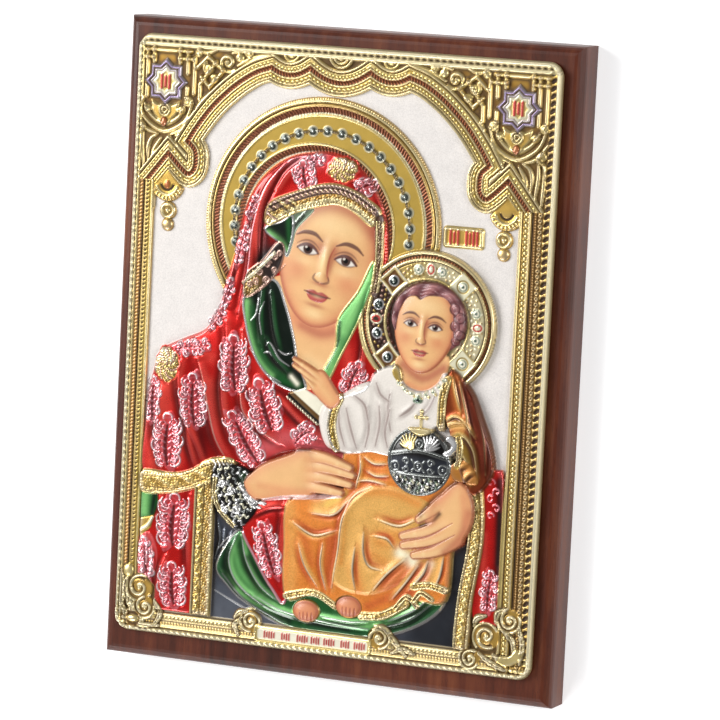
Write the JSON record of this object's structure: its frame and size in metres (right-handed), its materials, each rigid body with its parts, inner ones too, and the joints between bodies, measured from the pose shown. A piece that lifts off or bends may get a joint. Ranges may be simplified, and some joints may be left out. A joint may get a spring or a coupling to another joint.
{
  "type": "icon panel",
  "caption": "Small wooden panel with rounded front edges, faced with a stamped gilt and enamelled metal plate that shows a mother and child in low relief under a scalloped arch.",
  "frame": {"origin": "middle of the board's back face, which it lies on", "axes": "+Z out of the picture's front, +Y towards the picture's top, +X towards the picture's right"},
  "size_m": [0.09, 0.12, 0.0106],
  "materials": {
    "stained_wood": "dark red-brown stain under satin lacquer, worn pale along the rounded edges",
    "gilt_metal": "stamped pale gold foil with darkened recesses, translucent red and green enamel, orange, silver and copper areas"
  },
  "bodies": {
    "root": {"wood_board": "stained_wood", "icon_plate": "gilt_metal"}
  },
  "joints": []
}
